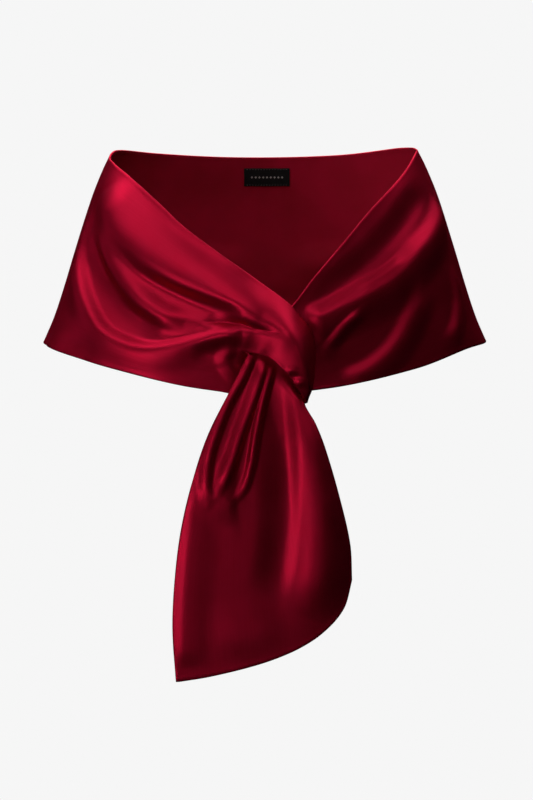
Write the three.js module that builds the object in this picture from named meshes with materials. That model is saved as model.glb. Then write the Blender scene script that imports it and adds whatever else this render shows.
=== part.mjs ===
// Evening stole: one long doubled satin strip worn round the shoulders. Its right front is gathered
// through a slit near the end of its left front and hangs down as a tail.
// Millimetres, +Z up. The wearer faces -Y, and the origin is midway between the two shoulder rests.
// "Left" and "right" are those of somebody who looks at the front of the stole.

import * as THREE from 'three';

// Cloth
const WALL = 2; // two layers of satin, worn soft
const SEAM_GAP = 0.3;
const SLIT_AT = 0.6; // how far down the strip's width the slit is cut
const FOLD_FADE = 34; // length over which a fold dies away at each end
const FOLD_STEPS = 24;
// Folds flatten towards the side of the body: sines of the turn between which they do, and how much
const SIDE_CALM = { from: 0.9, to: 0.985, share: 0.85 };

// Grid of each piece: columns run along the strip, rows run across it
const GRID = {
  back: { columns: 34, rows: 15 },
  frontLeft: { columns: 30, rows: 24 },
  finger: { columns: 8 },
  slitBand: { columns: 22, rows: 14 },
  frontRight: { columns: 28, rows: 20 },
  tail: { columns: 30, rows: 22 },
  label: { columns: 10, rows: 3 },
};

// Figure that the strip goes round: a row for each drop below the shoulder rests
const FIGURE = [
  { drop: -10, half: 156, front: 61, back: 79 },
  { drop: 0, half: 162, front: 67, back: 85 },
  { drop: 20, half: 172, front: 81, back: 91 },
  { drop: 50, half: 184, front: 100, back: 97 },
  { drop: 100, half: 200, front: 116, back: 102 },
  { drop: 150, half: 215, front: 125, back: 105 },
  { drop: 180, half: 225, front: 128, back: 106 },
  { drop: 206, half: 236, front: 129, back: 107 },
  { drop: 260, half: 257, front: 130, back: 108 },
  { drop: 290, half: 268, front: 130, back: 108 },
];

// Edges of the strip on the figure: turn in degrees from the front centre, minus to the left
const BACK_TOP = [
  { turn: -90, drop: 4.5 },
  { turn: -97, drop: 0.6 },
  { turn: -111, drop: -1.6 },
  { turn: -133, drop: -0.7 },
  { turn: -170, drop: 1.4 },
  { turn: -208, drop: 0 },
  { turn: -242, drop: -4.4 },
  { turn: -261, drop: -2.8 },
  { turn: -270, drop: 0.2 },
];
const BACK_HEM = [
  { turn: -90, drop: 205 },
  { turn: -135, drop: 211 },
  { turn: -180, drop: 217 },
  { turn: -225, drop: 211 },
  { turn: -270, drop: 204 },
];
const LEFT_TOP = [
  { turn: -90, drop: 4.5 },
  { turn: -81, drop: 10.6 },
  { turn: -70, drop: 17 },
  { turn: -55, drop: 31.5 },
  { turn: -38.4, drop: 59 },
  { turn: -25.3, drop: 89.7 },
  { turn: -14.8, drop: 114 },
  { turn: -5.6, drop: 136.5 },
  { turn: 0.9, drop: 153.8 },
];
const LEFT_HEM = [
  { turn: -90, drop: 205 },
  { turn: -67, drop: 213 },
  { turn: -39.6, drop: 234.6 },
  { turn: -20, drop: 252 },
  { turn: -10, drop: 258.6 },
];
const RIGHT_TOP = [
  { turn: 90, drop: 0.2 },
  { turn: 78, drop: 4.4 },
  { turn: 66.5, drop: 14.7 },
  { turn: 52, drop: 36 },
  { turn: 38, drop: 63.7 },
  { turn: 28, drop: 91.7 },
  { turn: 14.8, drop: 138 },
  { turn: 7.2, drop: 171.7 },
  { turn: -2.3, drop: 207.5 },
];
const RIGHT_HEM = [
  { turn: 90, drop: 204 },
  { turn: 63, drop: 213 },
  { turn: 39.2, drop: 234.6 },
  { turn: 18.9, drop: 252.3 },
  { turn: 9.4, drop: 258.2 },
];

// Band above the slit: its outer edge, its crown and its lip, a row for each section
const BAND = [
  { edgeX: 9.6, edgeDrop: 158, edgeY: -130, crownY: -144, lipX: -16, lipDrop: 218.2, lipY: -140.5 },
  { edgeX: 17, edgeDrop: 163.6, edgeY: -130, crownY: -148, lipX: -8, lipDrop: 219.9, lipY: -146 },
  { edgeX: 28, edgeDrop: 173, edgeY: -130, crownY: -152, lipX: 0, lipDrop: 221.8, lipY: -150 },
  { edgeX: 37.1, edgeDrop: 183.9, edgeY: -131, crownY: -155, lipX: 8.5, lipDrop: 226.2, lipY: -153 },
  { edgeX: 45.7, edgeDrop: 195.4, edgeY: -132, crownY: -158, lipX: 15, lipDrop: 232, lipY: -155 },
  { edgeX: 49.8, edgeDrop: 209, edgeY: -134, crownY: -160, lipX: 21.5, lipDrop: 238.8, lipY: -156 },
  { edgeX: 50.9, edgeDrop: 224, edgeY: -136, crownY: -159, lipX: 29, lipDrop: 248.4, lipY: -155 },
  { edgeX: 50.1, edgeDrop: 241, edgeY: -140, crownY: -156, lipX: 35.5, lipDrop: 258.5, lipY: -153 },
  { edgeX: 48.6, edgeDrop: 252, edgeY: -143, crownY: -152, lipX: 39.5, lipDrop: 266, lipY: -149 },
  { edgeX: 46.8, edgeDrop: 260, edgeY: -142, crownY: -145, lipX: 43, lipDrop: 271.5, lipY: -142 },
  { edgeX: 46.4, edgeDrop: 263, edgeY: -135, crownY: -135, lipX: 44.8, lipDrop: 272.5, lipY: -134 },
  { edgeX: 45.4, edgeDrop: 263.5, edgeY: -128, crownY: -128, lipX: 44, lipDrop: 272.5, lipY: -128 },
  { edgeX: 41, edgeDrop: 263.5, edgeY: -124.5, crownY: -124.5, lipX: 39, lipDrop: 272, lipY: -124.5 },
  { edgeX: 32, edgeDrop: 263.5, edgeY: -124.6, crownY: -124.6, lipX: 30, lipDrop: 271.2, lipY: -124.6 },
];
const BAND_CROWN_AT = 0.52;
const BAND_ARCHED_BY = 1.12;

// Finger below the slit, which passes behind the tail
const FINGER = [
  { lipX: -2.6, lipDrop: 233, hemX: -20, hemDrop: 263.4 },
  { lipX: 16, lipDrop: 249, hemX: 6, hemDrop: 267.6 },
  { lipX: 27, lipDrop: 256.6, hemX: 22, hemDrop: 270.2 },
  { lipX: 36, lipDrop: 261, hemX: 33.5, hemDrop: 271.8 },
];
const FINGER_BEHIND_Y = -127;
const FINGER_OPENS_BY = 1.15;

// Tail: its side edges and its curved end, a row for each point that shapes them
const TAIL_LEFT = [
  { x: -16, drop: 220 },
  { x: -34.2, drop: 257 },
  { x: -57.6, drop: 304.4 },
  { x: -73.9, drop: 353.3 },
  { x: -85.2, drop: 402.2 },
  { x: -91.3, drop: 451.2 },
  { x: -93.6, drop: 500 },
  { x: -90.2, drop: 555.1 },
];
const TAIL_RIGHT = [
  { x: 41.8, drop: 271.8 },
  { x: 51.4, drop: 292.2 },
  { x: 60.6, drop: 316.6 },
  { x: 74.9, drop: 365.6 },
  { x: 86.1, drop: 414.5 },
  { x: 88.1, drop: 451.2 },
];
const TAIL_END = [
  { x: -54.6, drop: 549 },
  { x: -6.7, drop: 536.8 },
  { x: 26, drop: 524.6 },
  { x: 48.4, drop: 512.3 },
  { x: 63.7, drop: 500.1 },
  { x: 74.9, drop: 487.9 },
  { x: 82, drop: 475.6 },
];
const TAIL_HANG = { throat: 0.3, restY: -148, bow: 5, endBack: 5 };

// How far the fronts stand in front of the figure where they pass each other
const CROSSING = { left: 3, right: -3, gatherTop: 4, gatherHem: 9 };
const CROSSING_ROLL = [
  { at: 0, forward: 0 },
  { at: 0.2, forward: 8 },
  { at: 0.36, forward: 12 },
  { at: 0.5, forward: 7 },
  { at: SLIT_AT, forward: 2 },
  { at: 0.75, forward: -4 },
  { at: 1, forward: -4 },
];

// Folds of the strip round the figure: a row for each ridge (plus) or trough (minus), with the
// places that it runs through as [turn, drop]
const FRONT_LEFT_FOLDS = [
  { fold: 'upper roll', lift: 7, reach: 22, through: [[-66, 40], [-48, 82], [-28, 126], [-9, 157], [4, 190]] },
  { fold: 'trough under the upper roll', lift: -5, reach: 18, through: [[-42, 118], [-27, 152], [-12, 173], [-1, 190]] },
  { fold: 'middle ridge', lift: 4, reach: 12, through: [[-58, 92], [-41, 143], [-29, 174], [-12, 188.7]] },
  { fold: 'deep trough', lift: -6, reach: 20, through: [[-62, 92], [-53, 137], [-36, 186], [-13, 191]] },
  { fold: 'long ridge, side', lift: 6, reach: 15, through: [[-71, 70], [-67, 118], [-55, 163], [-38, 203]] },
  { fold: 'long ridge, front', lift: 6, reach: 15, through: [[-46, 190], [-30, 209], [-16, 200], [-3, 196]] },
  { fold: 'trough at the slit', lift: -4, reach: 15, through: [[-20, 218], [-11, 208], [-7, 214]] },
  { fold: 'hem swell', lift: 3, reach: 26, through: [[-66, 188], [-50, 217], [-30, 234]] },
];
const FRONT_RIGHT_FOLDS = [
  { fold: 'main ridge', lift: 7, reach: 16, through: [[75, 40], [66, 74], [46, 112], [28, 151], [10, 184]] },
  { fold: 'trough above it', lift: -5, reach: 20, through: [[62, 32], [45, 68], [24, 120], [10, 170]] },
  { fold: 'trough below it', lift: -4, reach: 20, through: [[70, 100], [50, 135], [30, 178], [13, 212]] },
  { fold: 'lower ridge', lift: 4.5, reach: 17, through: [[46, 158], [37, 193], [26, 229], [13, 247]] },
  { fold: 'short ridge', lift: 3, reach: 9, through: [[24, 172], [17, 197], [6, 222]] },
  { fold: 'side swell', lift: 3, reach: 16, through: [[66, 135], [62, 168], [54, 196]] },
];
const BACK_FOLDS = [
  { fold: 'left shoulder sag', lift: -4, reach: 26, through: [[-104, 70], [-130, 104], [-165, 120]] },
  { fold: 'right shoulder sag', lift: -4, reach: 26, through: [[-256, 66], [-232, 98], [-200, 116]] },
  { fold: 'low ridge', lift: 4, reach: 24, through: [[-112, 128], [-150, 158], [-180, 164], [-226, 150]] },
  { fold: 'low trough', lift: -3, reach: 18, through: [[-118, 172], [-160, 190], [-210, 186]] },
];
// Folds of the tail, with the places that they run through as [x, drop]
const TAIL_FOLDS = [
  { fold: 'left pleat', lift: 4, reach: 9, through: [[-12, 216], [-28, 245], [-52, 298], [-66, 352]] },
  { fold: 'left furrow', lift: -3, reach: 8, through: [[-4, 222], [-22, 240], [-47, 305], [-57, 346]] },
  { fold: 'second pleat', lift: 4, reach: 8, through: [[5, 224], [-10, 252], [-30, 308], [-44, 352]] },
  { fold: 'third pleat', lift: 4, reach: 8, through: [[10, 228], [-3, 252], [-14, 308], [-26, 356]] },
  { fold: 'pleats meet', lift: 3.5, reach: 15, through: [[-62, 352], [-46, 369], [-26, 358]] },
  { fold: 'centre trough', lift: -6, reach: 20, through: [[14, 232], [8, 280], [3, 370], [-4, 450], [-8, 500]] },
  { fold: 'right pleat', lift: 6, reach: 17, through: [[22, 238], [28, 280], [39, 349], [42, 415], [30, 485]] },
  { fold: 'right trough', lift: -4, reach: 18, through: [[38, 258], [55, 325], [70, 390], [74, 450]] },
  { fold: 'left edge curl', lift: 3, reach: 18, through: [[-74, 390], [-84, 450], [-86, 520]] },
  { fold: 'end swell', lift: 4, reach: 24, through: [[-60, 520], [-15, 512], [28, 486]] },
];

// Label sewn inside the back
const LABEL = { x: 2, top: 12.4, width: 50, height: 19, thick: 0.8, clear: 0.45 };

// Colours, as sRGB, with roughness and metalness
const SATIN = { color: 0x8c0a22, roughness: 0.36, metalness: 0.25 };
const WOVEN_LABEL = { color: 0x141214, roughness: 0.7, metalness: 0 };

function ease(from, to, value) {
  const share = THREE.MathUtils.clamp((value - from) / (to - from), 0, 1);
  return share * share * (3 - 2 * share);
}

// Smooth curve through rows of numbers at rising knots
function splineThrough(knots, rows) {
  const last = knots.length - 1;
  const slopeOf = (row, column) => {
    const before = Math.max(row - 1, 0);
    const after = Math.min(row + 1, last);
    return (rows[after][column] - rows[before][column]) / (knots[after] - knots[before]);
  };
  return (value) => {
    let row = 0;
    while (row < last - 1 && value > knots[row + 1]) row += 1;
    const span = knots[row + 1] - knots[row];
    const q = (value - knots[row]) / span;
    return rows[row].map((start, column) => {
      const end = rows[row + 1][column];
      const leave = slopeOf(row, column) * span;
      const arrive = slopeOf(row + 1, column) * span;
      const square = q * q;
      const cube = square * q;
      return start * (2 * cube - 3 * square + 1) + leave * (cube - 2 * square + q)
        + end * (3 * square - 2 * cube) + arrive * (cube - square);
    });
  };
}

const figureAt = splineThrough(
  FIGURE.map((row) => row.drop),
  FIGURE.map((row) => [row.half, row.front, row.back]),
);

const angleOf = (turn) => THREE.MathUtils.degToRad(turn);

// Point on the figure at a turn and a drop
function onFigure(turn, drop) {
  const [half, front, back] = figureAt(drop);
  const angle = angleOf(turn);
  const depth = Math.cos(angle) > 0 ? front : back;
  return new THREE.Vector3(half * Math.sin(angle), -depth * Math.cos(angle), -drop);
}

// Level direction straight out of the figure
function outOfFigure(turn, drop) {
  const [half, front, back] = figureAt(drop);
  const angle = angleOf(turn);
  const depth = Math.cos(angle) > 0 ? front : back;
  return new THREE.Vector3(Math.sin(angle) * depth, -Math.cos(angle) * half, 0).normalize();
}

function turnAt(x, drop) {
  const [half] = figureAt(drop);
  return THREE.MathUtils.radToDeg(Math.asin(x / half));
}

// Curve through rows of points, read by its share of length from 0 to 1
function pathByLength(points, rows) {
  const knots = [0];
  for (let row = 1; row < points.length; row += 1) {
    knots.push(knots[row - 1] + points[row].distanceTo(points[row - 1]));
  }
  const total = knots[knots.length - 1];
  const curve = splineThrough(knots.map((knot) => knot / total), rows);
  return { at: curve, length: total };
}

function edgeOnFigure(table) {
  const points = table.map((row) => onFigure(row.turn, row.drop));
  return pathByLength(points, table.map((row) => [row.turn, row.drop]));
}

const flatPoint = (x, drop) => new THREE.Vector3(x, 0, -drop);

function edgeInFront(table) {
  const points = table.map((row) => flatPoint(row.x, row.drop));
  return pathByLength(points, table.map((row) => [row.x, row.drop]));
}

// A fold's line as short straight steps, with the length run at each
function foldLine(row, seatOf) {
  const seats = row.through.map(([first, second]) => seatOf(first, second));
  const path = pathByLength(seats, row.through);
  const steps = [];
  for (let step = 0; step <= FOLD_STEPS; step += 1) {
    const [first, second] = path.at(step / FOLD_STEPS);
    steps.push(seatOf(first, second));
  }
  return { lift: row.lift, reach: row.reach, steps, length: path.length };
}

// Lift of one fold at a place: a soft bump across its line that dies away at both ends
function liftOfFold(fold, seat) {
  let nearest = Infinity;
  let run = 0;
  const closest = new THREE.Vector3();
  for (let step = 0; step < FOLD_STEPS; step += 1) {
    const piece = new THREE.Line3(fold.steps[step], fold.steps[step + 1]);
    const share = piece.closestPointToPointParameter(seat, true);
    piece.at(share, closest);
    const distance = closest.distanceTo(seat);
    if (distance < nearest) {
      nearest = distance;
      run = (step + share) / FOLD_STEPS;
    }
  }
  const across = nearest / fold.reach;
  if (across >= 1) return 0;
  const toEnd = Math.min(run, 1 - run) * fold.length;
  return fold.lift * Math.cos(across * Math.PI / 2) ** 2 * ease(-0.35 * FOLD_FADE, FOLD_FADE, toEnd);
}

function liftOfFolds(folds, seat) {
  return folds.reduce((sum, fold) => sum + liftOfFold(fold, seat), 0);
}

const figureFolds = (rows) => rows.map((row) => foldLine(row, onFigure));
const frontLeftFolds = figureFolds([...FRONT_LEFT_FOLDS, ...BACK_FOLDS]);
const frontRightFolds = figureFolds([...FRONT_RIGHT_FOLDS, ...BACK_FOLDS]);
const backFolds = figureFolds([...BACK_FOLDS, ...FRONT_LEFT_FOLDS, ...FRONT_RIGHT_FOLDS]);
const tailFolds = TAIL_FOLDS.map((row) => foldLine(row, flatPoint));

// Cloth on the figure at a turn and drop, moved forward and lifted by its folds
function clothOnFigure(turn, drop, forward, folds) {
  const point = onFigure(turn, drop);
  const facing = 1 - SIDE_CALM.share * ease(SIDE_CALM.from, SIDE_CALM.to, Math.abs(Math.sin(angleOf(turn))));
  point.addScaledVector(outOfFigure(turn, drop), liftOfFolds(folds, point) * facing);
  point.y -= forward;
  return point;
}

// Places on the strip: "along" runs from the side of the body towards the tail or the slit, and
// "across" from the top edge to the hem. Each goes on past 1 into the next piece.
const backTop = edgeOnFigure(BACK_TOP);
const backHem = edgeOnFigure(BACK_HEM);
const leftTop = edgeOnFigure(LEFT_TOP);
const leftHem = edgeOnFigure(LEFT_HEM);
const rightTop = edgeOnFigure(RIGHT_TOP);
const rightHem = edgeOnFigure(RIGHT_HEM);

function between(start, end, share) {
  return start.map((value, column) => THREE.MathUtils.lerp(value, end[column], share));
}

function backPlace(along, across) {
  const [turn, drop] = between(backTop.at(along), backHem.at(along), across);
  return clothOnFigure(turn, drop, 0, backFolds);
}

const rollAt = splineThrough(
  CROSSING_ROLL.map((row) => row.at),
  CROSSING_ROLL.map((row) => [row.forward]),
);

function frontLeftSeat(along, across) {
  return between(leftTop.at(along), leftHem.at(along), across);
}

function frontLeftPlace(along, across) {
  const [turn, drop] = frontLeftSeat(along, across);
  const forward = CROSSING.left * ease(0.3, 0.8, along) + rollAt(across)[0] * ease(0.7, 1, along);
  return clothOnFigure(turn, drop, forward, frontLeftFolds);
}

const rolledY = (turn, drop, across) => onFigure(turn, drop).y - CROSSING.left - rollAt(across)[0];
const bandStart = (() => {
  const [edge, crown, lip] = [0, BAND_CROWN_AT * SLIT_AT, SLIT_AT].map((across) => {
    const [turn, drop] = frontLeftSeat(1, across);
    return { turn, drop, y: rolledY(turn, drop, across) };
  });
  return [edge.turn, edge.drop, edge.y, crown.y, lip.turn, lip.drop, lip.y];
})();
const bandRows = [
  bandStart,
  ...BAND.map((row) => [
    turnAt(row.edgeX, row.edgeDrop), row.edgeDrop, row.edgeY, row.crownY,
    turnAt(row.lipX, row.lipDrop), row.lipDrop, row.lipY,
  ]),
];
const bandPath = pathByLength(
  bandRows.map(([edgeTurn, edgeDrop, edgeY, , lipTurn, lipDrop, lipY]) => (
    onFigure((edgeTurn + lipTurn) / 2, (edgeDrop + lipDrop) / 2).setY((edgeY + lipY) / 2)
  )),
  bandRows,
);

// Band: "along" is 1 at the slit's end and 2 at the tip, and "across" stops at the slit
function bandPlace(along, across) {
  if (along < 1) return frontLeftPlace(along, across);
  const share = across / SLIT_AT;
  const [edgeTurn, edgeDrop, edgeY, crownY, lipTurn, lipDrop, lipY] = bandPath.at(along - 1);
  const [turn, drop] = between([edgeTurn, edgeDrop], [lipTurn, lipDrop], share);
  const rise = share < BAND_CROWN_AT
    ? Math.sin(Math.PI / 2 * share / BAND_CROWN_AT)
    : Math.cos(Math.PI / 2 * (share - BAND_CROWN_AT) / (1 - BAND_CROWN_AT));
  const baseY = share < BAND_CROWN_AT ? edgeY : lipY;
  const seat = onFigure(turn, drop);
  const arched = baseY + (crownY - baseY) * rise;
  const y = THREE.MathUtils.lerp(rolledY(turn, drop, across), arched, ease(1, BAND_ARCHED_BY, along));
  const lift = liftOfFolds(frontLeftFolds, seat) * (1 - ease(1.1, 1.5, along));
  return seat.setY(y).addScaledVector(outOfFigure(turn, drop), lift);
}

// Cloth below the slit: the front as far as 1, then the finger to its tip at 2
const fingerRows = [
  [...frontLeftSeat(1, SLIT_AT), ...frontLeftSeat(1, 1)],
  ...FINGER.map((row) => [
    turnAt(row.lipX, row.lipDrop), row.lipDrop, turnAt(row.hemX, row.hemDrop), row.hemDrop,
  ]),
];
const fingerPath = pathByLength(
  fingerRows.map(([lipTurn, lipDrop, hemTurn, hemDrop]) => (
    onFigure((lipTurn + hemTurn) / 2, (lipDrop + hemDrop) / 2)
  )),
  fingerRows,
);

function fingerPlace(along, across) {
  if (along < 1) return frontLeftPlace(along, across);
  const share = (across - SLIT_AT) / (1 - SLIT_AT);
  const [lipTurn, lipDrop, hemTurn, hemDrop] = fingerPath.at(along - 1);
  const [turn, drop] = between([lipTurn, lipDrop], [hemTurn, hemDrop], share);
  const seat = onFigure(turn, drop);
  const opened = ease(1, FINGER_OPENS_BY, along);
  const y = THREE.MathUtils.lerp(rolledY(turn, drop, across), FINGER_BEHIND_Y, opened);
  const lift = liftOfFolds(frontLeftFolds, seat) * (1 - opened);
  return seat.setY(y).addScaledVector(outOfFigure(turn, drop), lift);
}

function frontRightPlace(along, across) {
  const [turn, drop] = between(rightTop.at(along), rightHem.at(along), across);
  const atGather = THREE.MathUtils.lerp(CROSSING.gatherTop, CROSSING.gatherHem, across);
  const passing = CROSSING.right * ease(0.4, 0.8, along);
  const forward = THREE.MathUtils.lerp(passing, atGather, ease(0.8, 1, along));
  return clothOnFigure(turn, drop, forward, frontRightFolds);
}

// Tail between its four edges
const gatherEdge = (across) => between(rightTop.at(1), rightHem.at(1), across);
const gatherPoint = (across) => {
  const [turn, drop] = gatherEdge(across);
  return [onFigure(turn, drop).x, drop];
};
const named = ([x, drop]) => ({ x, drop });
const tailLeft = edgeInFront([named(gatherPoint(0)), ...TAIL_LEFT]);
const tailRight = edgeInFront([named(gatherPoint(1)), ...TAIL_RIGHT]);
const tailEnd = edgeInFront([TAIL_LEFT[TAIL_LEFT.length - 1], ...TAIL_END, TAIL_RIGHT[TAIL_RIGHT.length - 1]]);

function tailSeat(along, across) {
  const sides = between(tailLeft.at(along), tailRight.at(along), across);
  const ends = between(gatherPoint(across), tailEnd.at(across), along);
  const top = between(gatherPoint(0), gatherPoint(1), across);
  const bottom = between(tailLeft.at(1), tailRight.at(1), across);
  const corners = between(top, bottom, along);
  return sides.map((value, column) => value + ends[column] - corners[column]);
}

// Tail: "along" is 1 at the gathers and 2 at its end
function tailPlace(along, across) {
  if (along < 1) return frontRightPlace(along, across);
  const run = along - 1;
  const [x, drop] = tailSeat(run, across);
  const [gatherTurn, gatherDrop] = gatherEdge(across);
  const gatherY = onFigure(gatherTurn, gatherDrop).y
    - THREE.MathUtils.lerp(CROSSING.gatherTop, CROSSING.gatherHem, across);
  const hanging = TAIL_HANG.restY - TAIL_HANG.bow * Math.sin(Math.PI * across) * ease(0.1, 0.5, run)
    + TAIL_HANG.endBack * ease(0.5, 1, run);
  const y = THREE.MathUtils.lerp(gatherY, hanging, ease(0, TAIL_HANG.throat, run));
  const pleats = liftOfFolds(tailFolds, flatPoint(x, drop)) * ease(0, 0.07, run);
  const turn = turnAt(x, drop);
  const fromRight = liftOfFolds(frontRightFolds, onFigure(turn, drop)) * (1 - ease(0, 0.07, run));
  return new THREE.Vector3(x, y - pleats, -drop).addScaledVector(outOfFigure(turn, drop), fromRight);
}

// Cloth normal at a place, out of the figure
function normalAt(placeOf, along, across) {
  const step = 0.004;
  const alongStrip = placeOf(along + step, across).sub(placeOf(along - step, across));
  const acrossStrip = placeOf(along, across + step).sub(placeOf(along, across - step));
  return acrossStrip.cross(alongStrip).normalize();
}

// Closed wall round a grid of places. keep(column, row) says which cells have cloth.
function clothWall({ columns, rows, placeAt, faceAt, keep = () => true, wall = WALL }) {
  const positions = [];
  const ids = new Map();
  const vertex = (column, row, side) => {
    const key = `${column},${row},${side}`;
    if (!ids.has(key)) {
      const point = placeAt(column, row).addScaledVector(faceAt(column, row), side * wall / 2);
      ids.set(key, positions.length / 3);
      positions.push(point.x, point.y, point.z);
    }
    return ids.get(key);
  };
  const triangles = [];
  const quad = (a, b, c, d) => triangles.push(a, b, c, a, c, d);
  const kept = (column, row) => (
    column >= 0 && row >= 0 && column < columns && row < rows && keep(column, row)
  );
  for (let column = 0; column < columns; column += 1) {
    for (let row = 0; row < rows; row += 1) {
      if (!kept(column, row)) continue;
      const corners = [[column, row], [column, row + 1], [column + 1, row + 1], [column + 1, row]];
      const outer = corners.map(([i, j]) => vertex(i, j, 1));
      const inner = corners.map(([i, j]) => vertex(i, j, -1));
      quad(...outer);
      quad(inner[0], inner[3], inner[2], inner[1]);
      const sides = [[column - 1, row], [column, row + 1], [column + 1, row], [column, row - 1]];
      sides.forEach(([i, j], side) => {
        const next = (side + 1) % 4;
        if (!kept(i, j)) quad(outer[side], inner[side], inner[next], outer[next]);
      });
    }
  }
  const geometry = new THREE.BufferGeometry();
  geometry.setAttribute('position', new THREE.Float32BufferAttribute(positions, 3));
  geometry.setIndex(triangles);
  geometry.computeVertexNormals();
  return geometry;
}

// Share of a stretch that lies in the gap of a seam at its start or end
function seamShare(placeOf, along, across, inward) {
  const step = 0.004;
  const alongStrip = placeOf(along + step * inward, across).sub(placeOf(along, across));
  const acrossStrip = placeOf(along, across + step).sub(placeOf(along, across - step));
  const clear = alongStrip.cross(acrossStrip).length() / acrossStrip.length();
  return inward * SEAM_GAP * step / clear;
}

function makePiece(name, geometry, finish) {
  const mesh = new THREE.Mesh(geometry, new THREE.MeshStandardMaterial(finish));
  mesh.name = name;
  return mesh;
}

// Piece of the strip between two seams, held back from those that it leaves open
function stripPiece(name, { placeOf, grid, along, across = [0, 1], seamAtStart, seamAtEnd }) {
  const acrossOf = (row) => THREE.MathUtils.lerp(...across, row / grid.rows);
  const alongOf = (column, row) => {
    const start = along[0] + (seamAtStart ? seamShare(placeOf, along[0], acrossOf(row), 1) : 0);
    const end = along[1] + (seamAtEnd ? seamShare(placeOf, along[1], acrossOf(row), -1) : 0);
    return THREE.MathUtils.lerp(start, end, column / grid.columns);
  };
  const geometry = clothWall({
    ...grid,
    placeAt: (column, row) => placeOf(alongOf(column, row), acrossOf(row)),
    faceAt: (column, row) => normalAt(placeOf, alongOf(column, row), acrossOf(row)),
  });
  return makePiece(name, geometry, SATIN);
}

function makeBack() {
  return stripPiece('back', {
    placeOf: backPlace, grid: GRID.back, along: [0, 1], seamAtStart: true, seamAtEnd: true,
  });
}

// Left front, which runs on below the slit as the finger
function makeFrontLeft() {
  const { columns: body, rows } = GRID.frontLeft;
  const columns = body + GRID.finger.columns;
  const slitRow = Math.round(rows * SLIT_AT);
  const placeOf = (along, across) => (
    along > 1 ? fingerPlace(along, across) : frontLeftPlace(along, across)
  );
  const alongOf = (column) => (column <= body ? column / body : 1 + (column - body) / GRID.finger.columns);
  const acrossOf = (row) => (
    row <= slitRow ? SLIT_AT * row / slitRow : SLIT_AT + (1 - SLIT_AT) * (row - slitRow) / (rows - slitRow)
  );
  const faceAt = (column, row) => {
    const neighbour = row < slitRow ? bandPlace : fingerPlace;
    return normalAt(neighbour, alongOf(column), acrossOf(row));
  };
  const geometry = clothWall({
    columns,
    rows,
    placeAt: (column, row) => placeOf(alongOf(column), acrossOf(row)),
    faceAt,
    keep: (column, row) => column < body || row >= slitRow,
  });
  return makePiece('front_left', geometry, SATIN);
}

function makeSlitBand() {
  return stripPiece('slit_band', {
    placeOf: bandPlace, grid: GRID.slitBand, along: [1, 2], across: [0, SLIT_AT], seamAtStart: true,
  });
}

function makeFrontRight() {
  return stripPiece('front_right', { placeOf: tailPlace, grid: GRID.frontRight, along: [0, 1] });
}

function makeTail() {
  return stripPiece('tail', { placeOf: tailPlace, grid: GRID.tail, along: [1, 2], seamAtStart: true });
}

// Label: the back's own points inside it, moved in to clear the cloth
function makeLabel() {
  const backAt = (across, down) => {
    const drop = LABEL.top + LABEL.height * down;
    const turn = -180 - turnAt(LABEL.x + LABEL.width * (across - 0.5), drop);
    return clothOnFigure(turn, drop, 0, backFolds);
  };
  const share = (column, row) => [column / GRID.label.columns, row / GRID.label.rows];
  const faceAt = (column, row) => normalAt(backAt, ...share(column, row));
  const inward = WALL / 2 + LABEL.clear + LABEL.thick / 2;
  const geometry = clothWall({
    ...GRID.label,
    placeAt: (column, row) => backAt(...share(column, row)).addScaledVector(faceAt(column, row), inward),
    faceAt,
    wall: LABEL.thick,
  });
  return makePiece('label', geometry, WOVEN_LABEL);
}

const stole = new THREE.Group();
stole.name = 'evening_stole';
stole.add(makeBack(), makeFrontLeft(), makeSlitBand(), makeFrontRight(), makeTail(), makeLabel());

export default stole;
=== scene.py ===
"""Evening stole in red satin, worn with no wearer.

One long doubled satin strip goes round the shoulders. Its right front is gathered through a slit near
the end of its left front and hangs down as a tail. Tables and sizes are in millimetres, +Z is up and
the wearer faces -Y. "Left" and "right" are those of somebody who looks at the front of the stole.
"""

import logging
import math
from collections.abc import Callable
from dataclasses import dataclass
from enum import Enum
from functools import cached_property

import bpy
import numpy as np
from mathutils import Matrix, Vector


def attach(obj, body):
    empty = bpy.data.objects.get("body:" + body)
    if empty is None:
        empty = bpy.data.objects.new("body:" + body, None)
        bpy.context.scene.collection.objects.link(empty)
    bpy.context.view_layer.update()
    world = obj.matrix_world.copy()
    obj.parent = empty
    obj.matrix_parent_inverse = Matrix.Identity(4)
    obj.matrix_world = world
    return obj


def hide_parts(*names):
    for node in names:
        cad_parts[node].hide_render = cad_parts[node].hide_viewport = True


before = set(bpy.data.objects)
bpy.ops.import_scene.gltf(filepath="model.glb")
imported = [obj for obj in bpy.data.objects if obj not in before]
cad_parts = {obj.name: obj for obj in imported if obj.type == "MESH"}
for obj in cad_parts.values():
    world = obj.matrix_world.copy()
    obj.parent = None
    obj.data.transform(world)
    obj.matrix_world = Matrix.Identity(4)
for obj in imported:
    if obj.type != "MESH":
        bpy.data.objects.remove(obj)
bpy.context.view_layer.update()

LOG = logging.getLogger("stole")
MM = 0.001
TINY = 1e-9
# a wave texture of scale 1 / (6.28 w) has waves about 2 w wide
WAVE_PERIOD = 6.28

Array = np.ndarray
Socket = bpy.types.NodeSocket
Table = tuple[tuple[float, ...], ...]
SeatOf = Callable[[Array, Array], Array]
Colour = tuple[float, float, float]


def ease(start: float, end: float, value: Array) -> Array:
    """Soft step from 0 at the start to 1 at the end."""
    share = np.clip((value - start) / (end - start), 0, 1)
    return share * share * (3 - 2 * share)


def lerp(start: Array, end: Array, share: Array) -> Array:
    """Straight mix of two ends."""
    return start + (end - start) * share


def unit(vectors: Array) -> Array:
    """The same directions with length 1. The three numbers lie on the last axis."""
    return vectors / np.maximum(np.linalg.norm(vectors, axis=-1, keepdims=True), TINY)


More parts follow.
